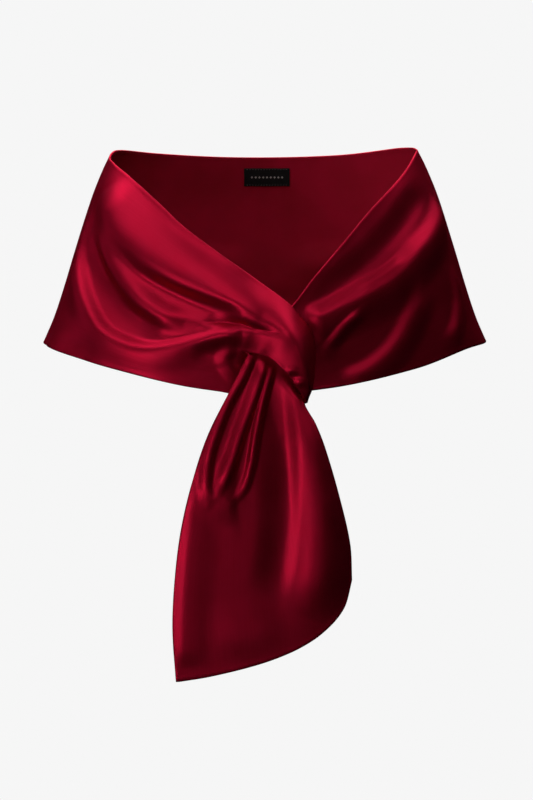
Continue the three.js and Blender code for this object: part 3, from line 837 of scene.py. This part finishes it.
class NodeTree:
    """Builds one material's nodes."""

    # range in which nearly all noise lies
    NOISE_FROM = 0.3
    NOISE_TO = 0.7

    def __init__(self, name: str) -> None:
        """Starts a material.

        Args:
            name: Its name.
        """
        self.material = bpy.data.materials.new(name)
        self.material.use_nodes = True
        self.tree = self.material.node_tree
        self.tree.nodes.clear()

    def add(self, kind: str, inputs: dict | None = None, **settings: object) -> bpy.types.Node:
        """Adds a node.

        Args:
            kind: Its type.
            inputs: Values or output sockets for its inputs, by name or number.
            **settings: Its own settings.

        Returns:
            The node.
        """
        node = self.tree.nodes.new(kind)
        for name, value in settings.items():
            setattr(node, name, value)
        for name, value in (inputs or {}).items():
            if isinstance(value, Socket):
                self.tree.links.new(value, node.inputs[name])
            else:
                node.inputs[name].default_value = value
        return node

    def noise(self, along: float, across: float, layers: float, weight: float = 0.5) -> Socket:
        """Noise on the flat cloth.

        Args:
            along: Its coarsest spots for each metre along the cloth.
            across: The same across it.
            layers: Number of finer layers.
            weight: Weight of the finer layers.

        Returns:
            The noise, 0 to 1.
        """
        place = self.add("ShaderNodeUVMap", uv_map="cut").outputs[0]
        vector = self.add("ShaderNodeMapping", {"Vector": place, "Scale": (along, across, 1)}).outputs[0]
        inputs = {"Vector": vector, "Scale": 1.0, "Detail": layers, "Roughness": weight}
        return self.add("ShaderNodeTexNoise", inputs).outputs["Fac"]

    def spread(self, value: Socket, low: float, high: float) -> Socket:
        """Noise brought to a range.

        Args:
            value: Noise, 0 to 1.
            low: Result at its usual lowest.
            high: Result at its usual highest.

        Returns:
            The value in the new range.
        """
        inputs = {
            "Value": value, "From Min": self.NOISE_FROM, "From Max": self.NOISE_TO,
            "To Min": low, "To Max": high,
        }
        return self.add("ShaderNodeMapRange", inputs).outputs[0]

    def compute(self, operation: str, first: object, second: object = 0.5) -> Socket:
        """Result of an operation on values or sockets."""
        return self.add("ShaderNodeMath", {0: first, 1: second}, operation=operation).outputs[0]

    def blend(self, share: Socket, first: object, second: object) -> Socket:
        """Mix of two colours.

        Args:
            share: 0 for the first and 1 for the second.
            first: Colour or socket.
            second: Colour or socket.

        Returns:
            The mixed colour.
        """
        inputs = {0: share}
        for number, colour in ((6, first), (7, second)):
            inputs[number] = (*colour, 1) if isinstance(colour, tuple) else colour
        return self.add("ShaderNodeMix", inputs, data_type="RGBA").outputs[2]

    def bump(self, height: Socket, strength: float, relief: float) -> Socket:
        """Normals of a fine relief, whose depth is in millimetres."""
        inputs = {"Height": height, "Strength": strength, "Distance": relief * MM}
        return self.add("ShaderNodeBump", inputs).outputs[0]

    def threads(self, vector: Socket, width: float, uneven: float, layers: float, way: str) -> Socket:
        """Waves two threads wide, as one thread goes over and the next goes under.

        Args:
            vector: Coordinates, in metres.
            width: Width of a thread, in millimetres.
            uneven: How uneven the waves are.
            layers: Number of finer layers in their unevenness.
            way: Direction in which they follow each other.

        Returns:
            Their height, 0 to 1.
        """
        inputs = {
            "Vector": vector, "Scale": 1 / MM / width / WAVE_PERIOD, "Distortion": uneven, "Detail": layers,
        }
        return self.add("ShaderNodeTexWave", inputs, bands_direction=way).outputs["Fac"]

    def surface(self, **inputs: object) -> bpy.types.Material:
        """The material, with a surface of these inputs, whose names have _ for each space."""
        named = {name.replace("_", " "): value for name, value in inputs.items()}
        return self.finish(self.add("ShaderNodeBsdfPrincipled", named))

    def finish(self, shader: bpy.types.Node) -> bpy.types.Material:
        """The material, with this shader as its surface."""
        output = self.add("ShaderNodeOutputMaterial")
        self.tree.links.new(shader.outputs[0], output.inputs["Surface"])
        return self.material


@dataclass(frozen=True)
class SatinFinish:
    """Red satin: long floats on the face, with small changes of shade and gloss."""

    name: str = "satin_face"
    deep: Colour = (0.36, 0.0026, 0.019)
    bright: Colour = (0.44, 0.006, 0.03)
    edge: Colour = (0.86, 0.14, 0.46)
    metal: float = 0.86
    gloss: tuple[float, float] = (0.43, 0.48)
    sheen: float = 0.05
    sheen_spread: float = 0.5
    # floats: length, width, depth and strength of their relief
    float_long: float = 2.6
    float_wide: float = 0.34
    relief: float = 0.012
    relief_strength: float = 0.6
    # size of the clouds of shade, and streaks for each metre along and across
    cloud: float = 34
    streaks: tuple[float, float] = (14, 900)
    # finer layers of the clouds and of the rest, and their weight in the relief
    cloud_layers: float = 3
    fine_layers: float = 2
    fine_weight: float = 0.6

    def material(self) -> bpy.types.Material:
        """Its material."""
        tree = NodeTree(self.name)
        clouds = tree.noise(1 / MM / self.cloud, 1 / MM / self.cloud, self.cloud_layers)
        streaks = tree.noise(*self.streaks, self.fine_layers)
        shade = tree.compute("MULTIPLY", tree.compute("ADD", clouds, streaks), 0.5)
        floats = tree.noise(
            1 / MM / self.float_long, 1 / MM / self.float_wide, self.fine_layers, self.fine_weight
        )
        return tree.surface(
            Base_Color=tree.blend(tree.spread(shade, 0, 1), self.deep, self.bright),
            Metallic=self.metal,
            Roughness=tree.spread(clouds, *self.gloss),
            Normal=tree.bump(floats, self.relief_strength, self.relief),
            Specular_Tint=(*self.edge, 1),
            Sheen_Weight=self.sheen,
            Sheen_Roughness=self.sheen_spread,
            Sheen_Tint=(*self.bright, 1),
        )


@dataclass(frozen=True)
class ReverseFinish:
    """Duller inside of the cloth, with a fine crepe grain."""

    name: str = "satin_reverse"
    deep: Colour = (0.36, 0.0026, 0.02)
    bright: Colour = (0.46, 0.004, 0.029)
    gloss: tuple[float, float] = (0.8, 0.9)
    shine: float = 0.12
    # size of the grain, depth and strength of its relief, and size of the clouds of shade
    grain: float = 0.7
    relief: float = 0.05
    relief_strength: float = 0.5
    cloud: float = 48
    # finer layers of the clouds and of the grain, and their weight in the grain
    cloud_layers: float = 3
    fine_layers: float = 2
    fine_weight: float = 0.6

    def material(self) -> bpy.types.Material:
        """Its material."""
        tree = NodeTree(self.name)
        clouds = tree.noise(1 / MM / self.cloud, 1 / MM / self.cloud, self.cloud_layers)
        grain = tree.noise(1 / MM / self.grain, 1 / MM / self.grain, self.fine_layers, self.fine_weight)
        return tree.surface(
            Base_Color=tree.blend(tree.spread(clouds, 0, 1), self.deep, self.bright),
            Roughness=tree.spread(clouds, *self.gloss),
            Specular_IOR_Level=self.shine,
            Normal=tree.bump(grain, self.relief_strength, self.relief),
        )


@dataclass
class SatinStrip:
    """The whole strip in one closed cloth wall, from the band's tip to the tail's end."""

    figure_back: Back
    left_front: LeftFront
    right_front: RightFront
    wall: float = 2
    # edges: how much thicker the cloth is there, over which width, and how round the rims are
    bead: float = 0.5
    bead_width: float = 3.5
    roundness: float = 0.7
    rim_steps: int = 4
    # the same cloth laid flat
    flat_width: float = 215
    flat_length: float = 1430
    rows: int = 80
    # columns of each stretch, and how much closer together they lie at its inner end
    band_columns: int = 52
    finger_columns: int = 26
    left_columns: int = 116
    back_columns: int = 138
    right_columns: int = 116
    tail_columns: int = 132
    bunched: float = 0.35

    def shares(self, columns: int, bunched: float = 0.0) -> Array:
        """Places of column lines, 0 to 1, bunched together towards the end."""
        q = np.linspace(0, 1, columns + 1)
        return q * (1 + bunched) - bunched * q**2

    def main_grid(self, across: Array) -> Array:
        """Points from the slit's start round the figure to the tail's end.

        Args:
            across: Share of the width of each row.

        Returns:
            Points by column and row.
        """
        left = 1 - self.shares(self.left_columns, -self.bunched)
        back = self.shares(self.back_columns)
        right = self.shares(self.right_columns, self.bunched)
        tail = 1 + self.shares(self.tail_columns, -self.bunched)
        stretches = (
            (left, self.left_front.places),
            (back, self.figure_back.places),
            (right, self.right_front.places),
            (tail, self.right_front.tail_places),
        )
        grids = [places(*np.meshgrid(along, across, indexing="ij")) for along, places in stretches]
        return np.concatenate([grids[0], *(grid[1:] for grid in grids[1:])])

    def middle(self) -> MidSurface:
        """Middle of the strip's wall."""
        across = np.linspace(0, 1, self.rows + 1)
        slit_row = round(self.rows * self.left_front.slit_at)
        main = self.main_grid(across)
        band_along = 2 - self.shares(self.band_columns)[:-1]
        finger_along = 2 - self.shares(self.finger_columns)[:-1]
        band = self.left_front.band_places(*np.meshgrid(band_along, across[: slit_row + 1], indexing="ij"))
        finger = self.left_front.finger_places(*np.meshgrid(finger_along, across[slit_row:], indexing="ij"))
        grids = (main, band, finger)
        points = np.concatenate([grid.reshape(-1, 3) for grid in grids])
        sizes = [grid[..., 0].size for grid in grids]
        main_numbers, band_numbers, finger_numbers = (
            stop - size + np.arange(size).reshape(grid.shape[:2])
            for grid, size, stop in zip(grids, sizes, np.cumsum(sizes))
        )
        band_numbers = np.vstack([band_numbers, main_numbers[0, : slit_row + 1]])
        finger_numbers = np.vstack([finger_numbers, main_numbers[0, slit_row:]])
        loop = np.concatenate(
            [
                band_numbers[:-1, 0], main_numbers[:-1, 0], main_numbers[-1, :-1],
                main_numbers[:0:-1, -1], finger_numbers[:0:-1, -1], finger_numbers[0, :0:-1],
                finger_numbers[:-1, 0], band_numbers[:0:-1, -1], band_numbers[0, :0:-1],
            ]
        )
        faces = np.vstack([grid_faces(numbers) for numbers in (main_numbers, band_numbers, finger_numbers)])
        runs = self.run_along(grids, slit_row)
        to_edge = self.distance_to_edges(grids)
        thick = self.wall + self.bead * (1 - ease(0, self.bead_width, to_edge))
        rounding = np.full(len(points), self.roundness)
        rounding[main_numbers[0, slit_row]] = 0
        return MidSurface(points, faces, loop, runs, thick, rounding)

    def run_along(self, grids: tuple[Array, ...], slit_row: int) -> Array:
        """Where each point lies on the flat cloth.

        Args:
            grids: Points of the main stretch, the band and the finger, by column and row.
            slit_row: Row of the slit.

        Returns:
            Length along the strip from the slit's start, minus on the band and finger, and place
            across it.
        """
        main, band, finger = grids
        across = np.linspace(0, self.flat_width, self.rows + 1)
        places = []
        for grid, next_to, widths in (
            (main, main[:0], across),
            (band, main[:1, : slit_row + 1], across[: slit_row + 1]),
            (finger, main[:1, slit_row:], across[slit_row:]),
        ):
            full = np.concatenate([grid, next_to])
            run = run_of(full[:, full.shape[1] // 2])
            if len(next_to):
                run = (run - run[-1])[:-1]
            places.append(np.stack(np.meshgrid(run, widths, indexing="ij"), axis=-1).reshape(-1, 2))
        return np.concatenate(places)

    def distance_to_edges(self, grids: tuple[Array, ...]) -> Array:
        """How far each point lies from the strip's edges.

        Args:
            grids: Points of the main stretch, the band and the finger, by column and row.

        Returns:
            Millimetres to the nearest edge. The band's outer edge isn't counted, so it gets no bead.
        """
        found = []
        for grid, end, top_is_off in zip(grids, (-1, 0, 0), (0, self.flat_width, 0)):
            to_top = np.linalg.norm(grid - grid[:, :1], axis=-1) + top_is_off
            to_hem = np.linalg.norm(grid - grid[:, -1:], axis=-1)
            to_end = np.linalg.norm(grid - grid[end], axis=-1)
            found.append(np.minimum(np.minimum(to_top, to_hem), to_end).ravel())
        return np.concatenate(found)

    def build(self) -> bpy.types.Object:
        """Makes and dresses the strip, and reports it.

        Returns:
            The piece.
        """
        middle = self.middle()
        piece = middle.shell("satin_strip", self.rim_steps)
        piece.data.materials.append(SatinFinish().material())
        piece.data.materials.append(ReverseFinish().material())
        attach(piece, "root")
        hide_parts("back", "front_left", "slit_band", "front_right", "tail")
        length = float(np.ptp(middle.cut[:, 0]))
        LOG.info("%s: %d faces, %.0f mm along its middle", piece.name, len(piece.data.polygons), length)
        return piece


@dataclass(frozen=True)
class LabelFinish:
    """Black woven label with a plain row of small rhombs along its middle."""

    name: str = "woven_label"
    ground: Colour = (0.002, 0.002, 0.002)
    lifted: Colour = (0.007, 0.006, 0.006)
    yarn: Colour = (0.42, 0.38, 0.36)
    roughness: float = 0.75
    shine: float = 0.25
    width: float = 50
    height: float = 19
    # half of the space from one rhomb to the next, half of a rhomb's diagonal, and how far the row
    # reaches to each side as a share of the width
    half_pitch: float = 2.1
    rhomb: float = 1.24
    row_half: float = 0.38
    # widths of the threads, how uneven they lie and in how many finer layers, depth and strength of
    # their relief
    weft: float = 0.42
    warp: float = 0.6
    uneven: float = 0.4
    layers: float = 1
    relief: float = 0.08
    relief_strength: float = 0.5

    def motif(self, tree: NodeTree, place: Socket) -> Socket:
        """Mask of the row of rhombs.

        Args:
            tree: Nodes of the label.
            place: Coordinates on the flat label.

        Returns:
            1 in a rhomb and 0 beside it.
        """
        axes = tree.add("ShaderNodeSeparateXYZ", {0: place})
        across = tree.compute("PINGPONG", axes.outputs[0], self.half_pitch * MM)
        off = tree.compute("ABSOLUTE", tree.compute("SUBTRACT", axes.outputs[1], self.height / 2 * MM))
        inside = tree.compute("LESS_THAN", tree.compute("ADD", across, off), self.rhomb * MM)
        from_middle = tree.compute("ABSOLUTE", tree.compute("SUBTRACT", axes.outputs[0], self.width / 2 * MM))
        in_row = tree.compute("LESS_THAN", from_middle, self.width * self.row_half * MM)
        return tree.compute("MULTIPLY", inside, in_row)

    def material(self) -> bpy.types.Material:
        """Its material."""
        tree = NodeTree(self.name)
        place = tree.add("ShaderNodeUVMap", uv_map="cut").outputs[0]
        weft = tree.threads(place, self.weft, self.uneven, self.layers, "Y")
        warp = tree.threads(place, self.warp, self.uneven, self.layers, "X")
        weave = tree.compute("MULTIPLY", weft, warp)
        ground = tree.blend(weave, self.ground, self.lifted)
        return tree.surface(
            Base_Color=tree.blend(self.motif(tree, place), ground, self.yarn),
            Roughness=self.roughness,
            Specular_IOR_Level=self.shine,
            Normal=tree.bump(weave, self.relief_strength, self.relief),
        )


@dataclass(frozen=True)
class ThreadFinish:
    """Pale sewing thread, twisted."""

    name: str = "label_thread"
    dark: Colour = (0.16, 0.12, 0.11)
    pale: Colour = (0.3, 0.24, 0.22)
    roughness: float = 0.55
    # width of a ply, and how uneven the plies lie and in how many finer layers
    ply: float = 0.5
    uneven: float = 0.6
    layers: float = 2

    def material(self) -> bpy.types.Material:
        """Its material."""
        tree = NodeTree(self.name)
        place = tree.add("ShaderNodeTexCoord").outputs["Object"]
        twist = tree.threads(place, self.ply, self.uneven, self.layers, "DIAGONAL")
        return tree.surface(Base_Color=tree.blend(twist, self.dark, self.pale), Roughness=self.roughness)


@dataclass
class WovenLabel:
    """Label sewn inside the back, with the stitches that hold its upper and lower edges."""

    figure_back: Back
    x: float = 2
    top: float = 12.4
    width: float = 50
    height: float = 19
    thick: float = 0.8
    cloth_wall: float = 2
    clear: float = 0.35
    # how far its middle stands off the cloth more than its sewn edges
    crown: float = 0.35
    # how round its rims are
    roundness: float = 0.8
    columns: int = 100
    rows: int = 38
    rim_steps: int = 4
    # distance over which the slope of the cloth is taken, and that down the label as a share of its height
    probe: float = 0.5
    down_probe: float = 0.02
    # stitches: length, space from one to the next, thickness, and how far in from the label's edge
    stitch_long: float = 1.9
    stitch_pitch: float = 3.1
    stitch_thick: float = 0.36
    stitch_in: float = 1.1
    # how far its middle stands off and its ends sink in as shares of the thickness, how late it sinks
    # and narrows, and the least share of its section at the ends
    stitch_stands: float = 0.2
    stitch_sinks: float = 0.55
    sinks_late: float = 2.5
    narrows_late: float = 4
    end_section: float = 0.02

    def middle_at(self, across: Array, down: Array, off: float) -> Array:
        """Points over the inside of the back.

        Args:
            across: Share of the label's width, from the viewer's left.
            down: Share of its height, from the top.
            off: Distance from the middle of the cloth.

        Returns:
            The points in space.
        """
        x = self.x + self.width * (across - 0.5)
        drop = self.top + self.height * down
        cloth = self.figure_back.inside_at
        sideways = cloth(x + self.probe, drop) - cloth(x - self.probe, drop)
        downward = cloth(x, drop + self.probe) - cloth(x, drop - self.probe)
        return cloth(x, drop) + unit(np.cross(downward, sideways)) * off

    def middle(self) -> MidSurface:
        """Middle of the label's wall, seen from inside the stole."""
        across, down = np.meshgrid(
            np.linspace(1, 0, self.columns + 1), np.linspace(0, 1, self.rows + 1), indexing="ij"
        )
        seated = self.cloth_wall / 2 + self.clear + self.thick / 2
        points = self.middle_at(across, down, seated)
        points += (self.middle_at(across, down, seated + 1) - points) * (
            self.crown * np.sin(math.pi * down)[..., None]
        )
        numbers = np.arange(across.size).reshape(across.shape)
        cut = np.stack([across * self.width, (1 - down) * self.height], axis=-1).reshape(-1, 2)
        count = across.size
        return MidSurface(
            points.reshape(-1, 3), grid_faces(numbers), grid_loop(numbers), cut,
            np.full(count, self.thick), np.full(count, self.roundness),
        )

    def stitch_mesh(self) -> bpy.types.Object:
        """Stitches along the upper and lower edge, as one mesh of short rounded bars."""
        sides, rings = 8, 7
        count = int((self.width - 2 * self.stitch_in) / self.stitch_pitch)
        first = (self.width - (count - 1) * self.stitch_pitch) / 2
        run = np.linspace(-1, 1, rings)
        middles = first + np.arange(count) * self.stitch_pitch
        across = (middles[:, None] + run * self.stitch_long / 2) / self.width
        edges = np.array([self.stitch_in / self.height, 1 - self.stitch_in / self.height])
        across, down, run = np.broadcast_arrays(across, edges[:, None, None], run)
        face = self.cloth_wall / 2 + self.clear + self.thick
        surface = self.middle_at(across, down, face)
        up = self.middle_at(across, down, face + 1) - surface
        sideways = unit(self.middle_at(across, down + self.down_probe, face) - surface)
        rise = self.stitch_thick * (self.stitch_stands - self.stitch_sinks * np.abs(run) ** self.sinks_late)
        section = np.maximum(1 - np.abs(run) ** self.narrows_late, self.end_section)
        radius = self.stitch_thick / 2 * np.sqrt(section)
        turns = np.linspace(0, 2 * math.pi, sides, endpoint=False)[:, None]
        ring_shape = np.cos(turns) * up[..., None, :] + np.sin(turns) * sideways[..., None, :]
        points = (surface + up * rise[..., None])[..., None, :] + radius[..., None, None] * ring_shape
        numbers = np.arange(points[..., 0].size).reshape(-1, rings, sides)
        closed = np.concatenate([numbers, numbers[..., :1]], axis=-1)
        # three faces close each end ring of eight points
        cap = np.array([[0, 1, 2, 3], [0, 3, 4, 7], [4, 5, 6, 7]])
        starts, stops = numbers[:, 0][:, cap], numbers[:, -1][:, cap[:, ::-1]]
        faces = np.concatenate([grid_faces(stitch) for stitch in closed] + [*starts, *stops])
        stacked = points.reshape(-1, 3)
        return mesh_object(
            "label_stitches", stacked * MM, faces, stacked[:, [0, 2]] * MM, np.zeros(len(faces))
        )

    def build(self) -> tuple[bpy.types.Object, bpy.types.Object]:
        """Makes and dresses the label and its stitches, and reports them.

        Returns:
            The label and the stitches.
        """
        label = self.middle().shell("label_panel", self.rim_steps)
        finish = LabelFinish().material()
        for _ in range(2):
            label.data.materials.append(finish)
        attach(label, "root")
        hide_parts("label")
        stitches = self.stitch_mesh()
        stitches.data.materials.append(ThreadFinish().material())
        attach(stitches, "root")
        LOG.info("%s: %d faces", label.name, len(label.data.polygons))
        LOG.info("%s: %d faces", stitches.name, len(stitches.data.polygons))
        return label, stitches


@dataclass(frozen=True)
class Softbox:
    """One studio light, aimed at a point of the stole. Metres and watts."""

    name: str
    azimuth: float
    elevation: float
    distance: float
    width: float
    height: float
    power: float
    aim: tuple[float, float, float] = (0.0, 0.0, -0.2)

    def build(self) -> bpy.types.Object:
        """Makes the light. Azimuth 0 is in front of the stole and minus to the left.

        Returns:
            The light.
        """
        data = bpy.data.lights.new(self.name, "AREA")
        data.shape = "RECTANGLE"
        data.size, data.size_y = self.width, self.height
        data.energy = self.power
        light = bpy.data.objects.new(self.name, data)
        bpy.context.scene.collection.objects.link(light)
        turn, rise = math.radians(self.azimuth), math.radians(self.elevation)
        towards = Vector((math.sin(turn) * math.cos(rise), -math.cos(turn) * math.cos(rise), math.sin(rise)))
        light.location = Vector(self.aim) + towards * self.distance
        light.rotation_euler = (-towards).to_track_quat("-Z", "Y").to_euler()
        light.visible_camera = False
        LOG.info("%s: %.0f W", self.name, self.power)
        return light


@dataclass
class Studio:
    """Pale floor and backdrop, soft lights and the camera. Metres."""

    pale: float = 0.9216
    floor_at: float = -0.75
    dome: float = 9
    dark: float = 0.004
    camera_at: tuple[float, float, float] = (0.0016, -3.06, -0.2677)
    lens: float = 128.6
    sensor: float = 36
    lights: tuple[Softbox, ...] = (
        Softbox("high_left", -88, 58, 1.9, 1.2, 0.8, 11),
        Softbox("high_front", -17, 42, 1.9, 1.2, 0.6, 6),
        Softbox("high_right", 72, 60, 1.9, 0.9, 0.7, 6),
        Softbox("side_left", -96, 12, 1.9, 0.5, 0.5, 0.9),
        Softbox("low_left", -42, -6, 1.9, 0.5, 0.8, 6.5),
        Softbox("front_fill", -4, -14, 2.2, 0.9, 0.5, 0.9),
        Softbox("back_left", -160, 58, 2.0, 1.2, 1.0, 18),
        Softbox("back_right", 150, 58, 2.0, 1.2, 1.0, 14),
    )

    def stage_piece(self, name: str, points: list[tuple[float, float, float]]) -> bpy.types.Object:
        """Plain pale plate of the stage.

        Args:
            name: Its name.
            points: Its four corners.

        Returns:
            The plate. It shows to the camera and lights nothing.
        """
        mesh = bpy.data.meshes.new(name)
        mesh.from_pydata(points, [], [(0, 1, 2, 3)])
        piece = bpy.data.objects.new(name, mesh)
        bpy.context.scene.collection.objects.link(piece)
        tree = NodeTree(name)
        colour = (self.pale, self.pale, self.pale, 1)
        glow = tree.add("ShaderNodeEmission", {"Color": colour, "Strength": 1.0})
        mesh.materials.append(tree.finish(glow))
        piece.visible_diffuse = False
        piece.visible_glossy = False
        piece.visible_shadow = False
        return piece

    def build(self) -> None:
        """Makes the stage, the lights and the camera."""
        far, low = self.dome, self.floor_at
        self.stage_piece("floor", [(-far, -far, low), (far, -far, low), (far, far, low), (-far, far, low)])
        walls = (
            ("backdrop_behind", (-far, far), (far, far)),
            ("backdrop_right", (far, far), (far, -far)),
            ("backdrop_front", (far, -far), (-far, -far)),
            ("backdrop_left", (-far, -far), (-far, far)),
        )
        for name, start, end in walls:
            self.stage_piece(name, [(*start, low), (*end, low), (*end, far), (*start, far)])
        self.stage_piece("ceiling", [(-far, -far, far), (-far, far, far), (far, far, far), (far, -far, far)])
        for light in self.lights:
            light.build()
        world = bpy.data.worlds.new("studio")
        world.use_nodes = True
        background = world.node_tree.nodes["Background"]
        background.inputs["Color"].default_value = (self.dark, self.dark, self.dark, 1)
        bpy.context.scene.world = world
        camera = bpy.data.objects.new("camera", bpy.data.cameras.new("camera"))
        bpy.context.scene.collection.objects.link(camera)
        camera.location = self.camera_at
        camera.rotation_euler = (math.radians(90), 0, 0)
        camera.data.lens = self.lens
        camera.data.sensor_width = self.sensor
        bpy.context.scene.camera = camera
        bpy.context.scene.view_settings.view_transform = "Standard"


def main() -> None:
    """Builds the studio and the stole, in order."""
    logging.basicConfig(level=logging.INFO, format="%(message)s")
    Studio().build()
    figure_back = Back()
    SatinStrip(figure_back, LeftFront(), RightFront()).build()
    WovenLabel(figure_back).build()
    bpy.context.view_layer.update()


if __name__ == "__main__":
    main()
